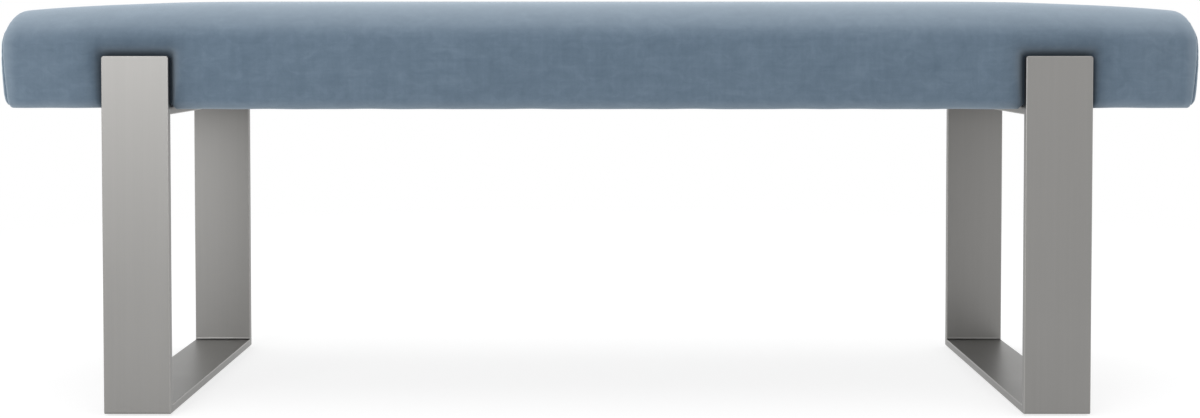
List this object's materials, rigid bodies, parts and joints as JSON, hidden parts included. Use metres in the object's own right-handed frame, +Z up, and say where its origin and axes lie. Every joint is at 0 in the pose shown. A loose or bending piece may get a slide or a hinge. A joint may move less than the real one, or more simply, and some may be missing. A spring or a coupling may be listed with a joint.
{
  "type": "upholstered bench",
  "caption": "Backless bench: a long crowned velvet cushion held between the wide flat-bar uprights of two brushed steel frames.",
  "frame": {"origin": "on the floor, under the middle of the bench", "axes": "+X along the bench to the sitter's right seen from the front, +Y from the front to the back, +Z up"},
  "size_m": [1.372, 0.45, 0.476],
  "materials": {
    "frame_steel": "satin",
    "weld_steel": "satin",
    "velvet": "matte",
    "wadding": "matte",
    "foam": "matte",
    "plywood": "matte",
    "dust_cloth": "matte",
    "zinc_steel": "satin",
    "staple_wire": "satin",
    "glide": "matte"
  },
  "bodies": {
    "root": {"left_front_upright": "frame_steel", "left_rear_upright": "frame_steel", "left_crossbar": "frame_steel", "left_runner": "frame_steel", "left_frame_welds": "weld_steel", "left_glides": "glide", "left_seat_screws": "zinc_steel", "left_seat_washers": "zinc_steel", "left_seat_nuts": "zinc_steel", "right_front_upright": "frame_steel", "right_rear_upright": "frame_steel", "right_crossbar": "frame_steel", "right_runner": "frame_steel", "right_frame_welds": "weld_steel", "right_glides": "glide", "right_seat_screws": "zinc_steel", "right_seat_washers": "zinc_steel", "right_seat_nuts": "zinc_steel", "seat_board": "plywood", "foam_core": "foam", "batting_wrap": "wadding", "cover_main_panel": "velvet", "cover_left_end_panel": "velvet", "cover_right_end_panel": "velvet", "dust_cover": "dust_cloth", "cover_staples": "staple_wire", "dust_cover_staples": "staple_wire"}
  },
  "joints": []
}
